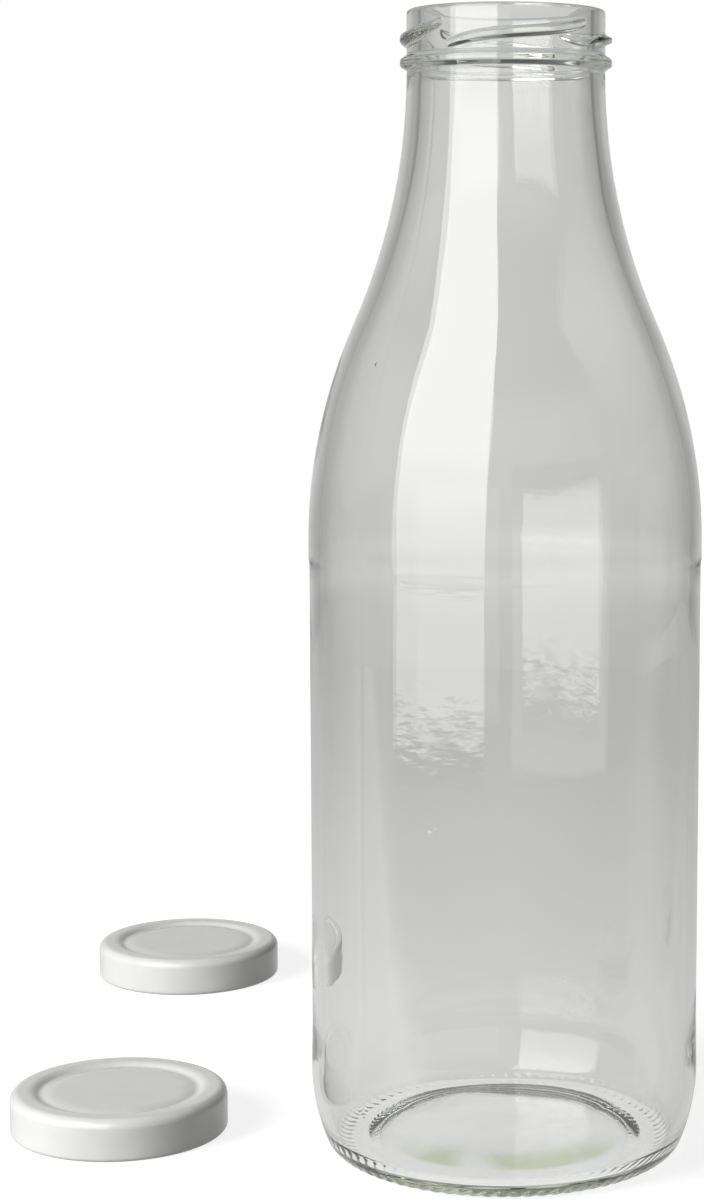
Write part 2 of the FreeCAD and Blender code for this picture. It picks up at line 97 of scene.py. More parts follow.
# quads between neighbouring rings; in a closed surface the last ring joins the first
def ringFaces(rings, columns, closed):
    here = np.arange(columns)
    beside = np.roll(here, -1)
    rows = np.arange(rings if closed else rings - 1)[:, None]
    above = (rows + 1) % rings
    return np.stack([rows * columns + here, rows * columns + beside,
                     above * columns + beside, above * columns + here], -1).reshape(-1, 4)


# triangles between a pole point and the first or the last ring
def poleFaces(pole, ring, columns, first):
    here = ring * columns + np.arange(columns)
    beside = np.roll(here, -1)
    return np.stack([np.full(columns, pole), *((beside, here) if first else (here, beside))], -1)


# a smooth mesh of quads and triangles, linked to the scene
def putMesh(name, points, quads, triangles, material):
    mesh = bpy.data.meshes.new(name)
    loops = np.concatenate([quads.ravel(), triangles.ravel()]).astype(np.int32)
    sizes = np.concatenate([np.full(len(quads), 4), np.full(len(triangles), 3)])
    starts = np.concatenate([[0], np.cumsum(sizes)[:-1]])
    mesh.vertices.add(len(points))
    mesh.loops.add(len(loops))
    mesh.polygons.add(len(sizes))
    mesh.vertices.foreach_set("co", np.ascontiguousarray(points, np.float32).ravel())
    mesh.loops.foreach_set("vertex_index", loops)
    mesh.polygons.foreach_set("loop_start", starts.astype(np.int32))
    mesh.polygons.foreach_set("loop_total", sizes.astype(np.int32))
    mesh.polygons.foreach_set("use_smooth", np.ones(len(sizes), bool))
    mesh.update(calc_edges=True)
    mesh.validate()
    piece = bpy.data.objects.new(name, mesh)
    bpy.context.scene.collection.objects.link(piece)
    mesh.materials.append(material)
    return piece


# rings closed by a pole point at each end of the axis at place, at the two heights given
def putTurned(name, rings, place, ends, material):
    count, columns = rings.shape[:2]
    poles = np.array([[*place, end] for end in ends]) * mm
    fans = np.concatenate([poleFaces(count * columns, 0, columns, True),
                           poleFaces(count * columns + 1, count - 1, columns, False)])
    points = np.concatenate([rings.reshape(-1, 3), poles])
    return putMesh(name, points, ringFaces(count, columns, False), fans, material)


def newMaterial(name):
    material = bpy.data.materials.new(name)
    material.use_nodes = True
    tree = material.node_tree
    shader = tree.nodes["Principled BSDF"]
    where = tree.nodes.new("ShaderNodeTexCoord").outputs["Object"]
    return material, tree, shader, where


def noiseNode(tree, where, scale, detail, roughness=0.5):
    noise = tree.nodes.new("ShaderNodeTexNoise")
    noise.inputs["Scale"].default_value = scale
    noise.inputs["Detail"].default_value = detail
    noise.inputs["Roughness"].default_value = roughness
    tree.links.new(where, noise.inputs["Vector"])
    return noise.outputs["Fac"]


def rampNode(tree, value, stops):
    ramp = tree.nodes.new("ShaderNodeValToRGB")
    tree.links.new(value, ramp.inputs["Fac"])
    while len(ramp.color_ramp.elements) < len(stops):
        ramp.color_ramp.elements.new(0.5)
    for element, (place, colour) in zip(ramp.color_ramp.elements, stops):
        element.position = place
        element.color = (*colour, 1)
    return ramp.outputs["Color"]


def rangeNode(tree, value, *limits):
    spread = tree.nodes.new("ShaderNodeMapRange")
    tree.links.new(value, spread.inputs["Value"])
    for socket, limit in zip(("From Min", "From Max", "To Min", "To Max"), limits):
        spread.inputs[socket].default_value = limit
    return spread.outputs["Result"]


def mathNode(tree, operation, first, second):
    node = tree.nodes.new("ShaderNodeMath")
    node.operation = operation
    tree.links.new(first, node.inputs[0])
    tree.links.new(second, node.inputs[1])
    return node.outputs[0]


def timesNode(tree, first, second):
    return mathNode(tree, "MULTIPLY", first, second)


def vectorNode(tree, operation, vector, by=(0, 0, 0)):
    node = tree.nodes.new("ShaderNodeVectorMath")
    node.operation = operation
    tree.links.new(vector, node.inputs[0])
    node.inputs[1].default_value = by
    return node


# how far a point lies along a direction
def alongNode(tree, vector, direction):
    return vectorNode(tree, "DOT_PRODUCT", vector, direction).outputs["Value"]


# how far a point is from the origin
def lengthNode(tree, vector):
    return vectorNode(tree, "LENGTH", vector).outputs["Value"]


def bumpNode(tree, value, depth, strength, before=None):
    bump = tree.nodes.new("ShaderNodeBump")
    bump.inputs["Distance"].default_value = depth
    bump.inputs["Strength"].default_value = strength
    tree.links.new(value, bump.inputs["Height"])
    if before:
        tree.links.new(before, bump.inputs["Normal"])
    return bump.outputs["Normal"]


colourMix = {"first": 6, "second": 7, "result": 2}  # where a Mix node keeps its colour sockets

# in the looks a noise is its scale per metre, detail and sometimes roughness, a bump its metres and strength,
# and an edge the values between which something fades in or out
glassLook = {
    "ior": 1.52,
    "drift": (14, 3),  # noise between the two tints
    "tints": ((0.35, (0.975, 0.976, 0.970)), (0.7, (0.962, 0.967, 0.955))),
    "depthColour": (0.86, 0.93, 0.72),
    "depthDensity": 5.0,  # per metre
    "paintedThickGreen": (0.52, 0.60, 0.34),  # painted green of light that crosses thick glass, on the base's ring in front and on the finish's ridges
    "ringNear": (0.0165, 0.0215),  # edges of the painted green ring: metres from the axis, up and to the front
    "ringFar": (0.0270, 0.0285),
    "ringTop": (0.0022, 0.0040),
    "ringFront": (0.004, 0.020),
    "patches": (45, 2),  # noise that breaks the ring up
    "patchEdge": (0.36, 0.50),
    "ridgeNear": (0.0223, 0.0234),  # edges of the ridges' painted green, from the axis and upwards
    "ridgeLow": (0.2440, 0.2455),
    "ridgeShare": 0.2,
    "handling": (60, 6, 0.65),
    "hazeEdge": (0.5, 0.75),
    "haze": (0.0, 0.004),  # roughness of clean and of handled glass
    "skin": (160, 2),
    "skinBump": (0.00002, 0.35),
    "seedCells": 42.0,  # cells per metre, one seed in some of them
    "seedSize": 0.028,  # share of a cell
    "seedDrawn": (0.3, 0.29),  # about this share of the cells has one
    "seedBump": (0.0003, 0.8),
}


def makeGlass():
    look = glassLook
    material, tree, shader, where = newMaterial("clear_glass")
    shader.inputs["Transmission Weight"].default_value = 1.0
    shader.inputs["IOR"].default_value = look["ior"]
    tint = rampNode(tree, noiseNode(tree, where, *look["drift"]), look["tints"])
    # painted colour: the green that light takes on crossing thick glass is put on as base colour, in patches
    # of the ring round the pushed-up base, on its front only, and on the ridges of the finish; the volume
    # below gives the glass's own green
    reach = lengthNode(tree, vectorNode(tree, "MULTIPLY", where, (1, 1, 0)).outputs["Vector"])
    upwards, frontwards = alongNode(tree, where, (0, 0, 1)), alongNode(tree, where, (0, -1, 0))
    patches = noiseNode(tree, where, *look["patches"])
    thick = rangeNode(tree, reach, *look["ringNear"], 0, 1)
    # the ring's painted green is kept to the front of the ring
    for value, edge, ends in ((reach, "ringFar", (1, 0)), (upwards, "ringTop", (1, 0)),
                              (frontwards, "ringFront", (0, 1)), (patches, "patchEdge", (0, 1))):
        thick = timesNode(tree, thick, rangeNode(tree, value, *look[edge], *ends))
    ridge = timesNode(tree, rangeNode(tree, reach, *look["ridgeNear"], 0, look["ridgeShare"]),
                      rangeNode(tree, upwards, *look["ridgeLow"], 0, 1))
    green = tree.nodes.new("ShaderNodeMix")
    green.data_type = "RGBA"
    tree.links.new(mathNode(tree, "ADD", thick, ridge), green.inputs["Factor"])
    tree.links.new(tint, green.inputs[colourMix["first"]])
    green.inputs[colourMix["second"]].default_value = (*look["paintedThickGreen"], 1)
    tree.links.new(green.outputs[colourMix["result"]], shader.inputs["Base Color"])
    handling = noiseNode(tree, where, *look["handling"])
    tree.links.new(rangeNode(tree, handling, *look["hazeEdge"], *look["haze"]), shader.inputs["Roughness"])
    skin = bumpNode(tree, noiseNode(tree, where, *look["skin"]), *look["skinBump"])
    # seeds, the small bubbles in glass: a bump at the point of a cell, in the cells drawn for it
    cells = tree.nodes.new("ShaderNodeTexVoronoi")
    cells.inputs["Scale"].default_value = look["seedCells"]
    tree.links.new(where, cells.inputs["Vector"])
    drawn = rangeNode(tree, cells.outputs["Color"], *look["seedDrawn"], 0, 1)
    dot = rangeNode(tree, cells.outputs["Distance"], 0, look["seedSize"], 1, 0)
    seeds = bumpNode(tree, timesNode(tree, drawn, dot), *look["seedBump"], skin)
    tree.links.new(seeds, shader.inputs["Normal"])
    depth = tree.nodes.new("ShaderNodeVolumeAbsorption")
    depth.inputs["Color"].default_value = (*look["depthColour"], 1)
    depth.inputs["Density"].default_value = look["depthDensity"]
    tree.links.new(depth.outputs["Volume"], tree.nodes["Material Output"].inputs["Volume"])
    return material


lacquerLook = {
    "ior": 1.5,
    "coat": 0.35,
    "coatRoughness": 0.08,
    "cloud": (90, 4),
    "tints": ((0.4, (0.80, 0.80, 0.79)), (0.75, (0.76, 0.76, 0.745))),  # white and cream
    "rub": (420, 5, 0.6),
    "rubEdge": (0.4, 0.7),
    "roughness": (0.20, 0.27),
    "peel": (500, 2),
    "peelBump": (0.00002, 0.15),
}


def makeLacquer():
    look = lacquerLook
    material, tree, shader, where = newMaterial("white_lacquer")
    shader.inputs["IOR"].default_value = look["ior"]
    shader.inputs["Coat Weight"].default_value = look["coat"]
    shader.inputs["Coat Roughness"].default_value = look["coatRoughness"]
    tint = rampNode(tree, noiseNode(tree, where, *look["cloud"]), look["tints"])
    tree.links.new(tint, shader.inputs["Base Color"])
    rub = noiseNode(tree, where, *look["rub"])
    tree.links.new(rangeNode(tree, rub, *look["rubEdge"], *look["roughness"]), shader.inputs["Roughness"])
    peel = noiseNode(tree, where, *look["peel"])
    tree.links.new(bumpNode(tree, peel, *look["peelBump"]), shader.inputs["Normal"])
    return material


sealLook = {
    "ior": 1.48,
    "cloud": (500, 5),
    "cloudEdge": (0.3, 0.7),
    "tints": ((0.35, (0.60, 0.59, 0.55)), (0.7, (0.70, 0.69, 0.65))),
    "roughness": (0.45, 0.6),
    "bump": (0.00008, 0.4),
}


def makeSealStuff():
    look = sealLook
    material, tree, shader, where = newMaterial("seal_compound")
    shader.inputs["IOR"].default_value = look["ior"]
    cloud = noiseNode(tree, where, *look["cloud"])
    tree.links.new(rampNode(tree, cloud, look["tints"]), shader.inputs["Base Color"])
    tree.links.new(rangeNode(tree, cloud, *look["cloudEdge"], *look["roughness"]), shader.inputs["Roughness"])
    tree.links.new(bumpNode(tree, cloud, *look["bump"]), shader.inputs["Normal"])
    return material


glass, lacquer, sealStuff = makeGlass(), makeLacquer(), makeSealStuff()
print("materials made")

# millimetres and degrees; waves are a seed, their number, the longest pitch and the most turns
bottle = {
    "columns": 400,
    "bodyRadius": 44.5,
    "straightTop": 140.4,
    "shoulderRise": 49.4,
    "neckRise": 56.0,
    "finishRadius": 22.0,
    "finishHeight": 12.7,
    "heelHeight": 20.1,
    "heelCurve": 45.9,
    "baseEdge": 5.2,
    "bearingWidth": 4.4,
    "rampWidth": 4.0,
    "rampHeight": 1.6,
    "domeRise": 2.4,
    "domeGap": 0.4,  # angle from the dome's middle to its first ring
    "panelFoot": 1.7,
    "panelHead": 3.0,
    "panelDepth": 0.2,
    "panelSlope": 1.5,
    "panelRun": 9.0,
    "bodyWall": 2.6,
    "finishWall": 3.2,
    "baseGlass": 3.4,
    "heelGlass": 3.2,
    "floorBend": 5.0,
    "floorRound": 8.0,  # radius over which the floor's middle is blunt
    "floorGap": 0.02,  # share of the floor inside its last ring
    "rimEdge": 0.8,
    "beadDrop": 11.5,
    "beadFlat": 0.5,  # half of the bead's blunt nose
    "beadFoot": 1.9,  # half of its height at the glass
    "beadProud": 1.5,
    "beadClear": 0.5,  # the shoulder's rings end this far under the bead
    "threadCount": 4,
    "threadAngle": -82.0,
    "threadSpan": 86.0,
    "threadDrop": 6.2,
    "threadRise": 2.5,
    "threadEndRise": 1.2,
    "threadProud": 1.5,
    "threadHalf": 1.38,
    "threadFlat": 0.3,  # share of the half that is blunt
    "threadEndProud": 0.17,
    "threadEndWidth": 0.6,
    "threadEnd": (0.98, 1.05),  # shares of the half span over which a ridge ends
    "threadClear": 0.3,  # under the rim
    "knurls": 80,
    "knurlDepth": 0.2,
    "knurlLean": 0.8,  # pitches that a groove slants across the ring
    "knurlFoot": 0.6,  # width of the knurl on the bearing ring
    "knurlTop": 2.6,
    "knurlBegin": (0.0, 0.12),  # shares of the way up over which the grooves begin and end
    "knurlEnd": (0.8, 1.0),
    "knurlSharp": 1.4,
    "outerRipple": 0.07,
    "outerWaves": (4, 9, 90, 6),
    "innerRipple": 0.16,
    "innerWaves": (7, 14, 70, 9),
    "rippleLow": (14, 26),  # heights over which the ripples begin and end
    "rippleHigh": (225, 246),
    "floorRipple": 0.3,
    "floorWaves": (11, 10, 40, 6),
    "floorHeight": 14,  # the floor's ripple is under this height
    "floorNear": (2, 14),  # radii over which it begins and ends
    "floorFar": (30, 38),
    "seamHeight": 0.05,
    "seamAngle": 45.0,
    "seamWidth": 0.012,  # radians
    "seamFoot": 8,
    "seamTop": 245,
}
bottle["neckTop"] = bottle["straightTop"] + bottle["shoulderRise"] + bottle["neckRise"]
bottle["rim"] = bottle["neckTop"] + bottle["finishHeight"]
bottle["bead"] = bottle["rim"] - bottle["beadDrop"]
bottle["domeTop"] = bottle["rampHeight"] + bottle["domeRise"]
bottle["heelCentre"] = (bottle["bodyRadius"] - bottle["heelCurve"], bottle["heelHeight"])
# where the base's edge, an arc inside the heel's, comes down to the table
bottle["contact"] = bottle["heelCentre"][0] + math.sqrt((bottle["heelCurve"] - bottle["baseEdge"])**2
                                                        - (bottle["heelHeight"] - bottle["baseEdge"])**2)
bottleRows = {
    "dome": 12,
    "ramp": 5,
    "bearing": 7,
    "baseEdge": 17,
    "heel": 12,
    "panelEdge": 2,
    "panelSlope": 4,
    "panel": 16,
    "shoulder": 13,
    "bead": 21,
    "finish": 44,
    "rimEdge": 6,
    "mouth": 8,
    "innerShoulder": 11,
    "innerBody": 14,
    "innerHeel": 8,
    "floorBend": 12,
    "floor": 12,
}


# full curve then hollow curve: both arcs lean by 2 atan(step / rise) where they meet
def shoulderRun(wide, narrow, count):
    low, high = bottle["straightTop"], bottle["neckTop"]
    lean = 2 * math.atan2(wide - narrow, high - low)
    full = bottle["shoulderRise"] / math.sin(lean)
    hollow = bottle["neckRise"] / math.sin(lean)
    lean = math.degrees(lean)
    return joinRuns(arcRun((wide - full, low), full, 0, lean, count),
                    arcRun((narrow + hollow, high), hollow, lean + 180, 180, count))


# from under the dome out over the bearing ring and up the heel
def underRun():
    b, rows = bottle, bottleRows
    contact, heel = b["contact"], b["heelCentre"]
    turn = math.degrees(math.atan2(b["baseEdge"] - heel[1], contact - heel[0]))
    ring = contact - b["bearingWidth"]
    step = ring - b["rampWidth"]
    dome = (b["domeRise"]**2 + step**2) / (2 * b["domeRise"])
    domeEdge = math.degrees(math.asin(step / dome))
    return joinRuns(
        arcRun((0, b["domeTop"] - dome), dome, 90 - b["domeGap"], 90 - domeEdge, rows["dome"]),
        lineRun((step, b["rampHeight"]), (ring, 0), rows["ramp"]),
        lineRun((ring, 0), (contact, 0), rows["bearing"]),
        arcRun((contact, b["baseEdge"]), b["baseEdge"], -90, turn, rows["baseEdge"]),
        arcRun(heel, b["heelCurve"], turn, 0, rows["heel"]))


# from the heel past the panel, the shoulder and the bead, whose rows have a raised cosine's crown
def sideRun():
    b, rows = bottle, bottleRows
    wide, low, finish = b["bodyRadius"], b["straightTop"], b["finishRadius"]
    panelLow, panelHigh = b["heelHeight"] + b["panelFoot"], low - b["panelHead"]
    panelStart, panelEnd = panelLow + b["panelRun"], panelHigh - b["panelSlope"]
    recess = wide - b["panelDepth"]
    shoulder = shoulderRun(wide, finish, rows["shoulder"])
    side = joinRuns(
        lineRun((wide, b["heelHeight"]), (wide, panelLow), rows["panelEdge"]),
        lineRun((wide, panelLow), (recess, panelStart), rows["panelSlope"]),
        lineRun((recess, panelStart), (recess, panelEnd), rows["panel"]),
        lineRun((recess, panelEnd), (wide, panelHigh), rows["panelSlope"]),
        lineRun((wide, panelHigh), (wide, low), rows["panelEdge"]),
        shoulder[shoulder[:, 1] < b["bead"] - b["beadFoot"] - b["beadClear"]])
    height = np.linspace(-b["beadFoot"], b["beadFoot"], rows["bead"])
    crown = b["beadProud"] * blunted(b["beadFlat"] / b["beadFoot"], np.abs(height) / b["beadFoot"])
    return np.concatenate([side, np.stack([finish + crown, b["bead"] + height], -1)])


# from the bead up the finish and over the rim
def topRun():
    b, rows = bottle, bottleRows
    finish, rim, edge = b["finishRadius"], b["rim"], b["rimEdge"]
    return joinRuns(
        lineRun((finish, b["bead"] + b["beadFoot"]), (finish, rim - edge), rows["finish"]),
        arcRun((finish - edge, rim - edge), edge, 0, 90, rows["rimEdge"]),
        arcRun((finish - b["finishWall"] + edge, rim - edge), edge, 90, 180, rows["rimEdge"]))


# from the rim down the inside, round the floor's bend and along its slope to the middle
def insideRun():
    b, rows = bottle, bottleRows
    mouth, inner = b["finishRadius"] - b["finishWall"], b["bodyRadius"] - b["bodyWall"]
    heel, corner = b["heelCentre"], b["floorBend"]
    floorTop = b["domeTop"] + b["baseGlass"]
    hollow, start = b["heelCurve"] - b["bodyWall"], b["heelGlass"] + corner
    centre = (heel[0] + math.sqrt((hollow - corner)**2 - (start - heel[1])**2), start)
    sink = math.degrees(math.atan2(start - heel[1], centre[0] - heel[0]))
    # the slope is the line from the floor's middle that touches the bend
    away = math.hypot(centre[0], centre[1] - floorTop)
    fall = math.atan2(centre[1] - floorTop, centre[0]) - math.asin(corner / away)
    run = math.sqrt(away**2 - corner**2)
    touch = (run * math.cos(fall), floorTop + run * math.sin(fall))
    touchAngle = math.degrees(math.atan2(touch[1] - start, touch[0] - centre[0]))
    last = (b["floorGap"] * touch[0], floorTop + b["floorGap"] * (touch[1] - floorTop))
    inside = joinRuns(
        lineRun((mouth, b["rim"] - b["rimEdge"]), (mouth, b["neckTop"]), rows["mouth"]),
        shoulderRun(inner, mouth, rows["innerShoulder"])[::-1],
        lineRun((inner, b["straightTop"]), (inner, b["heelHeight"]), rows["innerBody"]),
        arcRun(heel, hollow, 0, sink, rows["innerHeel"]),
        arcRun(centre, corner, sink, touchAngle, rows["floorBend"]),
        lineRun(touch, last, rows["floor"]))
    # the floor's point is blunted: lower by slope * (sqrt(r^2 + blunt^2) - r), less and less outwards
    spread, blunt = inside[:, 0], b["floorRound"]
    lower = -math.tan(fall) * (np.sqrt(spread**2 + blunt**2) - spread)
    inside[:, 1] -= lower * (1 - easeStep(blunt, 3 * blunt, spread)) * (inside[:, 1] < start)
    return inside


# height of a thread ridge over the glass: a blunt crown across, risen and faded along its share u
# from -1 to 1, with its middle at rim - drop + rise u / 2 + endRise u^3
def threadCrown(angle, height):
    b = bottle
    total = np.zeros(np.broadcast(angle, height).shape)
    for ridge in range(b["threadCount"]):
        start = math.radians(b["threadAngle"] + ridge * 360 / b["threadCount"])
        off = (angle - start + math.pi) % tau - math.pi
        u = off / math.radians(b["threadSpan"] / 2)
        near = np.clip(u, -b["threadEnd"][1], b["threadEnd"][1])
        middle = b["rim"] - b["threadDrop"] + b["threadRise"] / 2 * near + b["threadEndRise"] * near**3
        fade = np.sqrt(np.clip(1 - (1 - b["threadEndProud"]**2) * near**4, 0, 1))
        slim = b["threadEndWidth"] + (1 - b["threadEndWidth"]) * fade
        crown = blunted(b["threadFlat"], np.abs(height - middle) / (b["threadHalf"] * slim))
        ended = 1 - easeStep(*b["threadEnd"], np.abs(u))
        total = np.maximum(total, b["threadProud"] * fade * crown * ended)
    return total


# grooves cut into the glass, slanted across the bearing ring's edge: a sharpened raised cosine of
# knurls * angle - lean * 2 pi s, where s is the share of the way up; gives the moves of radius and height
def knurlMoves(outline, angle, outer):
    b = bottle
    along = np.concatenate([[0], np.cumsum(np.hypot(*np.diff(outline, axis=0).T))])[:, None]
    contactRow = np.argmin(np.hypot(outline[:, 0] - b["contact"], outline[:, 1]))
    topRow = np.argmax((outline[:, 0] > b["contact"]) & (outline[:, 1] > b["knurlTop"]))
    start = along[contactRow] - b["knurlFoot"]
    across = (along - start) / (along[topRow] - start)
    window = easeStep(*b["knurlBegin"], across) * (1 - easeStep(*b["knurlEnd"], across)) * outer
    phase = b["knurls"] * angle - b["knurlLean"] * tau * across
    groove = b["knurlDepth"] * window * (0.5 + 0.5 * np.cos(phase))**b["knurlSharp"]
    tangent = np.gradient(outline, axis=0)
    tangent = tangent / np.linalg.norm(tangent, axis=1, keepdims=True)
    return -groove * tangent[:, 1:], groove * tangent[:, :1]


def makeBottle():
    b = bottle
    outside = joinRuns(underRun(), sideRun(), topRun())
    outline = joinRuns(outside, insideRun())
    radius, height, angle = spinOutline(outline, b["columns"])
    outer = np.arange(len(outline))[:, None] < len(outside) - bottleRows["rimEdge"] + 1
    sideways, upwards = knurlMoves(outline, angle, outer)
    radius, height = radius + sideways, height + upwards
    finish = outer & (height > b["bead"] + b["beadFoot"]) & (height < b["rim"] - b["threadClear"])
    radius = radius + threadCrown(angle, height) * finish
    # blown glass is never quite even, least of all inside
    outerWave = b["outerRipple"] * (0.5 + 0.5 * unevenWaves(angle, height, *b["outerWaves"]))
    innerWave = b["innerRipple"] * unevenWaves(angle, height, *b["innerWaves"])
    rippled = easeStep(*b["rippleLow"], height) * (1 - easeStep(*b["rippleHigh"], height))
    radius = radius - np.where(outer, outerWave, innerWave) * rippled
    floorWave = b["floorRipple"] * unevenWaves(angle, radius, *b["floorWaves"])
    floorZone = easeStep(*b["floorNear"], radius) * (1 - easeStep(*b["floorFar"], radius))
    height = height + np.where(~outer & (height < b["floorHeight"]), floorWave * floorZone, 0)
    # two mould seams, opposite each other
    seam = np.abs((angle - math.radians(b["seamAngle"]) + math.pi / 2) % math.pi - math.pi / 2)
    seamZone = outer & (height > b["seamFoot"]) & (height < b["seamTop"])
    radius = radius + b["seamHeight"] * np.exp(-(seam / b["seamWidth"])**2) * seamZone
    piece = putTurned("bottle_glass", turned(radius, height, angle), (0, 0),
                      (b["domeTop"], height[-1].mean()), glass)
    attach(piece, "bottle")
    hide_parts("bottle")
    return piece


bottleGlass = makeBottle()
print("bottle made:", len(bottleGlass.data.polygons), "faces")

# millimetres and degrees; both lids are pressed in the same tool
lid = {
    "columns": 240,
    "height": 10.0,
    "gauge": 0.22,
    "radius": 25.52,
    "shoulder": 2.3,
    "panelDrop": 0.5,
    "panelGap": 0.4,  # radius of the panel's first ring
    "grooveRadius": 18.2,
    "grooveDepth": 1.0,
    "grooveCurve": 2.0,
    "outerLip": 4.0,
    "innerLip": 12.0,
    "curl": 1.0,
    "lugNose": 22.7,
    "lugHeight": 1.3,
    "lugRise": 0.45,
    "lugSpan": 24.0,
    "lugs": 4,
    "lugEnd": (0.75, 1.15),  # shares of the half span over which a lug ends
    "lugRoot": (0, 0.35),  # shares of the curl over which it begins
    "ripple": 0.02,
    "waves": (21, 9, 40, 6),
    "rippleDrop": (3, 1),  # depths under the top and radii over which the ripple begins
    "rippleNear": (0.5, 4),
}
lid["panelTop"] = lid["height"] - lid["panelDrop"]
lid["flange"] = lid["grooveRadius"] + math.sqrt(
    lid["grooveDepth"] * (2 * (lid["grooveCurve"] + lid["outerLip"]) - lid["grooveDepth"]))
lidRows = {
    "panel": 12,
    "innerLip": 9,
    "groove": 9,
    "outerLip": 10,
    "flange": 4,
    "innerBend": 8,
    "outerBend": 12,
    "skirt": 8,
    "rollIn": 14,
    "rollOut": 18,
}
lidPlaces = {"rear_lid": (-91.02, 150.04), "front_lid": (-91.02, 10.0)}


# panel, inner lip, groove and outer lip of one face of the sheet, from the middle outwards
def lidTopRun(offset):
    rows, curve, outer, inner = lidRows, lid["grooveCurve"], lid["outerLip"], lid["innerLip"]
    step = lid["grooveDepth"] - lid["panelDrop"]
    panel = lid["grooveRadius"] - math.sqrt(step * (2 * (curve + inner) - step))
    innerLip, outerLip = (panel, lid["panelTop"] - inner), (lid["flange"], lid["height"] - outer)
    middle = (lid["grooveRadius"], lid["height"] - lid["grooveDepth"] + curve)
    inwards = math.degrees(math.atan2(innerLip[1] - middle[1], innerLip[0] - middle[0]))
    outwards = math.degrees(math.atan2(outerLip[1] - middle[1], outerLip[0] - middle[0]))
    top = lid["panelTop"] - offset
    return joinRuns(
        lineRun((lid["panelGap"], top), (panel, top), rows["panel"]),
        arcRun(innerLip, inner - offset, 90, inwards + 180, rows["innerLip"]),
        arcRun(middle, curve + offset, inwards, outwards, rows["groove"]),
        arcRun(outerLip, outer - offset, outwards + 180, 90, rows["outerLip"]))


# the sheet's inside from the middle to the skirt's foot, the curl, and its outside back to the middle
def lidOutline():
    rows, gauge, skirt, bend, curl = lidRows, lid["gauge"], lid["radius"], lid["shoulder"], lid["curl"]
    top, under, flange = lid["height"], lid["height"] - gauge, lid["flange"]
    bendCentre, curlCentre = (skirt - bend, top - bend), (skirt - curl, curl)
    underside = joinRuns(
        lidTopRun(gauge),
        lineRun((flange, under), (skirt - bend, under), rows["flange"]),
        arcRun(bendCentre, bend - gauge, 90, 0, rows["innerBend"]),
        lineRun((skirt - gauge, top - bend), (skirt - gauge, curl), rows["skirt"]),
        arcRun(curlCentre, curl - gauge, 0, -270, rows["rollIn"]))
    outside = joinRuns(
        arcRun(curlCentre, curl, -270, 0, rows["rollOut"]),
        lineRun((skirt, curl), (skirt, top - bend), rows["skirt"]),
        arcRun(bendCentre, bend, 0, 90, rows["outerBend"]),
        lineRun((skirt - bend, top), (flange, top), rows["flange"]),
        lidTopRun(0)[::-1])
    return np.concatenate([underside, outside])


def makeTin(name):
    gauge, skirt, curl, slack = lid["gauge"], lid["radius"], lid["curl"], 1e-6
    radius, height, angle = spinOutline(lidOutline(), lid["columns"])
    # the curl flattened and pushed in to make a lug: towards a nose of lugHeight, over the lug's angle
    off = np.abs((angle + math.pi / lid["lugs"]) % (tau / lid["lugs"]) - math.pi / lid["lugs"])
    half = math.radians(lid["lugSpan"] / 2)
    push = 1 - easeStep(lid["lugEnd"][0] * half, lid["lugEnd"][1] * half, off)
    curled = (radius < skirt - curl + slack) & (radius > skirt - 2 * curl - slack)
    curled = curled & (height < 2 * curl + slack)
    reachIn = (skirt - curl - radius) / curl
    flatten = lid["lugRise"] + lid["lugHeight"] * np.clip(height / (2 * curl), 0, 1)
    pressed = push * curled * easeStep(*lid["lugRoot"], reachIn)
    radius = radius - pressed * (skirt - 2 * curl - lid["lugNose"]) * np.clip(reachIn, 0, 1)
    height = height * (1 - pressed) + flatten * pressed
    # the pressed sheet is a little uneven
    deep, shallow = lid["rippleDrop"]
    topZone = easeStep(lid["height"] - deep, lid["height"] - shallow, height)
    wave = unevenWaves(angle, radius, *lid["waves"]) - 1
    height = height + lid["ripple"] * topZone * wave * easeStep(*lid["rippleNear"], radius)
    place = lidPlaces[name]
    shell = putTurned(name + "_tin", turned(radius, height, angle, place), place,
                      (lid["panelTop"] - gauge, lid["panelTop"]), lacquer)
    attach(shell, name)
    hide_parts(name + "_shell")


# millimetres; it lies under the flange and follows its lip
seal = {
    "thick": 1.2,
    "inner": 19.5,
    "edge": 0.3,
    "gap": 0.1,  # to the lid's bend
    "flowed": 0.06,
    "waves": (31, 8, 9, 14),
    "firm": 0.3,  # under the flange
}
sealRows = {"foot": 8, "edge": 5, "side": 3, "lip": 7}


# bottom, outer side, top and inner side in turn, round to the start
def makeSeal(name):
    rows, flange = sealRows, lid["flange"]
    near, far = seal["inner"], lid["radius"] - lid["shoulder"] - seal["gap"]
    high, lip = lid["height"] - lid["gauge"], lid["outerLip"] - lid["gauge"]
    low, edge = high - seal["thick"], seal["edge"]
    lipTurn = math.degrees(math.acos((near - flange) / lip))
    lipRun = arcRun((flange, high - lip), lip, 90, lipTurn, rows["lip"])
    loop = joinRuns(
        lineRun((near + edge, low), (far - edge, low), rows["foot"]),
        arcRun((far - edge, low + edge), edge, -90, 0, rows["edge"]),
        lineRun((far, low + edge), (far, high), rows["side"]),
        lineRun((far, high), (flange, high), rows["side"]),
        lipRun,
        lineRun(lipRun[-1], (near, low + edge), rows["side"]),
        arcRun((near + edge, low + edge), edge, 180, 270, rows["edge"]))[:-1]
    radius, height, angle = spinOutline(loop, lid["columns"])
    soft = 1 - easeStep(low, high - seal["firm"], height)
    height = height + seal["flowed"] * soft * (0.5 + 0.5 * unevenWaves(angle, radius, *seal["waves"]))
    points = turned(radius, height, angle, lidPlaces[name]).reshape(-1, 3)
    faces = ringFaces(len(loop), lid["columns"], True)
    ring = putMesh(name + "_seal_ring", points, faces, noTriangles, sealStuff)
    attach(ring, name)
    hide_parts(name + "_seal")


for lidName in lidPlaces:
    makeTin(lidName)
    makeSeal(lidName)
    print(lidName, "made")

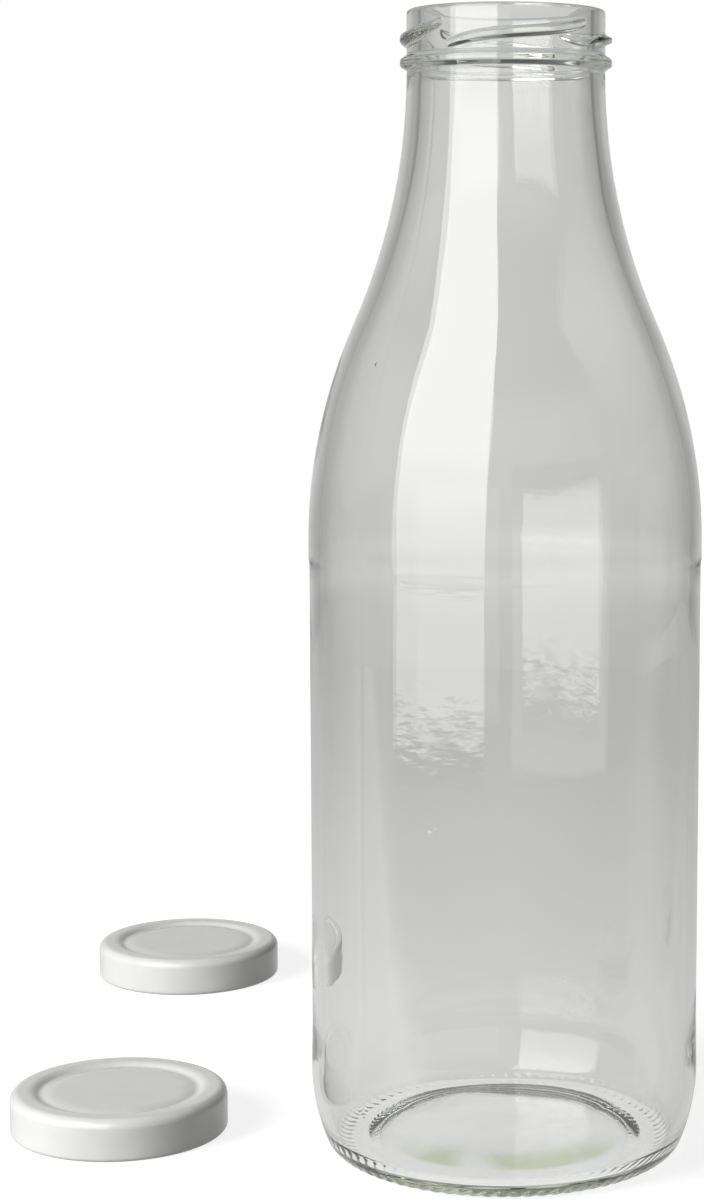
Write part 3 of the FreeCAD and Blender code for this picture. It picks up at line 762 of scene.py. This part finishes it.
# metres from here on; a glow is (place, strength) pairs along each direction, multiplied together
# the floor is what the camera sees, and the table and the pool on it are how gloss and glass see it
floor = {
    "left": -1.6,
    "right": 1.6,
    "near": -1.2,
    "far": 1.6,
    "grey": (0.34, 0.34, 0.34),
    "greyest": 0.97,  # share of the grey in the darkest grain
    "grain": (40, 3),
    "grainEdge": (0.3, 0.7),
    "roughness": 0.9,
    "specular": 0.1,
    "white": ((0.0, 0.81), (0.35, 0.83), (0.9, 1.0)),  # added for the camera, by distance
}
# its near edge is close to the bottle, and the light on it ends along two leaning lines
table = {
    "under": 0.0005,
    "far": 0.74,
    "nearEdge": ((-0.8, -0.206), (-0.1, -0.085), (0.1, -0.085), (0.9, -0.12)),
    "glow": {
        (1, 0.12, 0): ((-0.75, 0.35), (-0.34, 0.56), (-0.116, 0.60), (-0.054, 0.66), (-0.027, 0.71),
                       (-0.0162, 0.735), (-0.0148, 0.645), (0.1, 0.62), (0.35, 0.60)),
        (1, -0.12, 0): ((0.03, 1.0), (0.06, 0.87), (0.12, 0.85)),
        (0, 1, 0): ((-0.2, 0.72), (-0.085, 0.78), (0.02, 1.06), (0.12, 1.06), (0.21, 1.0), (0.4, 0.9),
                    (0.5, 0.86), (0.74, 0.84)),
    },
}
# a painted pool of light under the bottle, seen only in gloss and glass
pool = {"under": 0.0003, "radius": 0.041, "columns": 33, "glow": 0.84}
# the room by how far a direction points away, to the right and up: palest behind the bottle, dark above
room = {
    "glow": {
        (0, 1, 0): ((-1.0, 0.62), (-0.6, 0.54), (-0.2, 0.47), (0.3, 0.42), (0.6, 0.34), (0.68, 0.24),
                    (0.76, 0.38), (0.86, 0.42), (0.9, 0.47), (0.94, 0.54), (0.965, 0.61), (0.98, 0.66)),
        (1, 0, 0): ((0.0, 1.0), (0.08, 0.96), (1.0, 0.78)),
        (0, 0, 1): ((-0.15, 0.84), (-0.06, 1.0), (0.42, 1.0), (0.56, 0.22), (1.0, 0.22)),
    },
    "ambient": 0.17,  # what it sheds on the lids and the floor
    "white": 1.0,  # what the camera sees
}
# bright windows and a pale wall that only gloss and glass show: bands of a circle round the bottle, between
# two azimuths from the camera at their foot and at their head, in degrees, with the glow at heights
bandColumns = 25
bands = {
    "left_window": {
        "from": (-66, -67), "to": (-12, -6), "away": 0.8,
        "glow": ((-0.06, 0.2), (-0.034, 0.2), (-0.028, 2.35), (0.06, 2.25), (0.085, 2.45), (0.2, 3.3),
                 (0.4, 4.4), (1.15, 4.3)),
        "frayed": {"stroke": (6, 6, 460), "noise": (1, 2), "edge": (0.3, 0.7), "lift": (-0.026, 0.026)},
    },
    "right_window": {
        "from": (4, 4), "to": (60, 62), "away": 0.8,
        "glow": ((-0.055, 0.2), (-0.047, 1.05), (0.1, 1.05), (0.2, 0.8), (0.25, 0.5), (0.36, 0.2)),
    },
    "right_wall": {
        "from": (75, 0), "to": (125, 125), "away": 0.9,
        "glow": ((0.35, 0.2), (0.8, 0.8), (1.6, 1.0)),
    },
}
lamp = {
    "name": "left_daylight",
    "at": (-1.30, -0.955, 0.857),
    "to": (-0.1, 0, 0),
    "size": (0.8, 0.8),
    "watts": 38,
}


# glow by a coordinate: a ramp between the given (place, strength) pairs, scaled to the strongest of them
def glowNode(tree, value, pairs):
    most = max(level for _, level in pairs)
    first, last = pairs[0][0], pairs[-1][0]
    share = rangeNode(tree, value, first, last, 0, 1)
    stops = [((place - first) / (last - first), (level / most,) * 3) for place, level in pairs]
    return rangeNode(tree, rampNode(tree, share, stops), 0, 1, 0, most)


# the ramps along several directions, multiplied together
def glowProduct(tree, vector, ramps):
    levels = [glowNode(tree, alongNode(tree, vector, direction), pairs) for direction, pairs in ramps.items()]
    total = levels[0]
    for level in levels[1:]:
        total = timesNode(tree, total, level)
    return total


# strokes along a band: its points are lifted or lowered by a noise that changes fast upwards, slowly along it
def frayedNode(tree, where, frayed):
    stretched = vectorNode(tree, "MULTIPLY", where, frayed["stroke"]).outputs["Vector"]
    strokes = noiseNode(tree, stretched, *frayed["noise"])
    lift = tree.nodes.new("ShaderNodeCombineXYZ")
    tree.links.new(rangeNode(tree, strokes, *frayed["edge"], *frayed["lift"]), lift.inputs["Z"])
    moved = vectorNode(tree, "ADD", where)
    tree.links.new(lift.outputs["Vector"], moved.inputs[1])
    return moved.outputs["Vector"]


# light of one strength, or of ramps along directions, that isn't sampled as a lamp
def glowMaterial(name, glow, frayed=None):
    material = bpy.data.materials.new(name)
    material.use_nodes = True
    material.cycles.emission_sampling = "NONE"
    tree = material.node_tree
    tree.nodes.remove(tree.nodes["Principled BSDF"])
    light = tree.nodes.new("ShaderNodeEmission")
    tree.links.new(light.outputs[0], tree.nodes["Material Output"].inputs["Surface"])
    if not isinstance(glow, dict):
        light.inputs["Strength"].default_value = glow
        return material
    where = tree.nodes.new("ShaderNodeTexCoord").outputs["Object"]
    if frayed:
        where = frayedNode(tree, where, frayed)
    tree.links.new(glowProduct(tree, where, glow), light.inputs["Strength"])
    return material


# a strip of quads between a lower and an upper row of points
def putStrip(name, lower, upper, material):
    count = len(lower)
    here = np.arange(count - 1)
    quads = np.stack([here, here + 1, here + 1 + count, here + count], -1)
    strip = putMesh(name, np.concatenate([lower, upper]), quads, noTriangles, material)
    return strip


# a strip that only gloss and glass show
def putGlow(name, lower, upper, material):
    strip = putStrip(name, lower, upper, material)
    strip.visible_camera = strip.visible_diffuse = strip.visible_shadow = False


def makeFloor():
    material, tree, shader, where = newMaterial("pale_floor")
    shader.inputs["Roughness"].default_value = floor["roughness"]
    shader.inputs["Specular IOR Level"].default_value = floor["specular"]
    greys = [tuple(share * part for part in floor["grey"]) for share in (floor["greyest"], 1)]
    grain = noiseNode(tree, where, *floor["grain"])
    tree.links.new(rampNode(tree, grain, list(zip(floor["grainEdge"], greys))), shader.inputs["Base Color"])
    # white added for the camera alone, so that only the shadows show, and all white further off
    shader.inputs["Emission Color"].default_value = (1, 1, 1, 1)
    cameraRay = tree.nodes.new("ShaderNodeLightPath").outputs["Is Camera Ray"]
    white = timesNode(tree, glowNode(tree, lengthNode(tree, where), floor["white"]), cameraRay)
    tree.links.new(white, shader.inputs["Emission Strength"])
    sides = (floor["left"], floor["right"])
    near, far = ([[side, floor[edge], 0] for side in sides] for edge in ("near", "far"))
    plane = putStrip("floor", near, far, material)
    plane.visible_glossy = plane.visible_transmission = False


def makeTable():
    near = np.array([[*point, -table["under"]] for point in table["nearEdge"]])
    far = near * (1, 0, 1) + (0, table["far"], 0)
    putGlow("table", near, far, glowMaterial("table_in_glass", table["glow"]))


# the lit disc under the bottle, a painted pool of light: it glows in place of the light that comes through
# the glass onto the table, and only gloss and glass show it; y = -+ sqrt(radius^2 - x^2)
def makePool():
    across = np.linspace(-pool["radius"], pool["radius"], pool["columns"])
    reach = np.sqrt(pool["radius"]**2 - across**2)
    flat = np.full(pool["columns"], -pool["under"])
    putGlow("pool", np.stack([across, -reach, flat], -1), np.stack([across, reach, flat], -1),
            glowMaterial("painted_light_pool", pool["glow"]))


# a band of a circle: x = away sin a, y = -away cos a, from its lowest to its highest glow
def makeBands():
    for name, band in bands.items():
        rows = []
        for end, level in enumerate((band["glow"][0][0], band["glow"][-1][0])):
            turn = np.radians(np.linspace(band["from"][end], band["to"][end], bandColumns))
            height = np.full(bandColumns, level)
            rows.append(np.stack([band["away"] * np.sin(turn), -band["away"] * np.cos(turn), height], -1))
        putGlow(name, *rows, glowMaterial(name, {(0, 0, 1): band["glow"]}, band.get("frayed")))


def makeWorld():
    world = bpy.data.worlds.new("studio")
    bpy.context.scene.world = world
    world.use_nodes = True
    tree = world.node_tree
    background = tree.nodes["Background"]
    direction = tree.nodes.new("ShaderNodeTexCoord").outputs["Generated"]
    background.inputs["Color"].default_value = (1, 1, 1, 1)
    # gloss and glass show the room, dull surfaces get an even light, and the camera itself sees plain white
    ray = tree.nodes.new("ShaderNodeLightPath")
    strength = glowProduct(tree, direction, room["glow"])
    for kind, level in (("Is Diffuse Ray", room["ambient"]), ("Is Camera Ray", room["white"])):
        pick = tree.nodes.new("ShaderNodeMix")
        tree.links.new(ray.outputs[kind], pick.inputs["Factor"])
        tree.links.new(strength, pick.inputs["A"])
        pick.inputs["B"].default_value = level
        strength = pick.outputs["Result"]
    tree.links.new(strength, background.inputs["Strength"])


# a place and a turn that face the lamp's -Z at its target, with its X level
def aimed(place, target):
    away = np.array(place, float) - np.array(target, float)
    away /= np.linalg.norm(away)
    side = np.cross((0, 0, 1), away)
    side /= np.linalg.norm(side)
    turn = np.eye(4)
    turn[:3] = np.stack([side, np.cross(away, side), away, place], -1)
    return Matrix(turn.tolist())


def makeLamp():
    light = bpy.data.lights.new(lamp["name"], "AREA")
    light.shape = "RECTANGLE"
    light.size, light.size_y = lamp["size"]
    light.energy = lamp["watts"]
    holder = bpy.data.objects.new(lamp["name"], light)
    holder.matrix_world = aimed(lamp["at"], lamp["to"])
    holder.visible_camera = holder.visible_glossy = holder.visible_transmission = False
    bpy.context.scene.collection.objects.link(holder)


# metres, degrees and millimetres of lens; the bottle stands right of the middle, upright and square on
cameraView = {
    "at": (0, -0.6006, 0.2026),
    "down": 7.15,
    "roll": 0.1,
    "lens": 79.96,
    "frame": 36.0,
    "right": 0.1275,
    "nearest": 0.01,
}


def makeCamera():
    seen = bpy.data.cameras.new("camera")
    seen.sensor_fit = "VERTICAL"
    seen.sensor_height = cameraView["frame"]
    seen.lens = cameraView["lens"]
    seen.clip_start = cameraView["nearest"]
    seen.shift_x = -cameraView["right"]
    holder = bpy.data.objects.new("camera", seen)
    turn = (Matrix.Rotation(math.radians(90 - cameraView["down"]), 4, "X")
            @ Matrix.Rotation(math.radians(cameraView["roll"]), 4, "Z"))
    holder.matrix_world = Matrix.Translation(cameraView["at"]) @ turn
    bpy.context.scene.collection.objects.link(holder)
    bpy.context.scene.camera = holder


makeFloor()
makeTable()
makePool()
makeBands()
makeWorld()
makeLamp()
makeCamera()
bpy.context.scene.view_settings.view_transform = "Standard"
bounces = 32  # light goes round inside the thick base many times before it comes out
for kind in ("max", "glossy", "transmission"):
    setattr(bpy.context.scene.cycles, kind + "_bounces", bounces)
print("studio made")
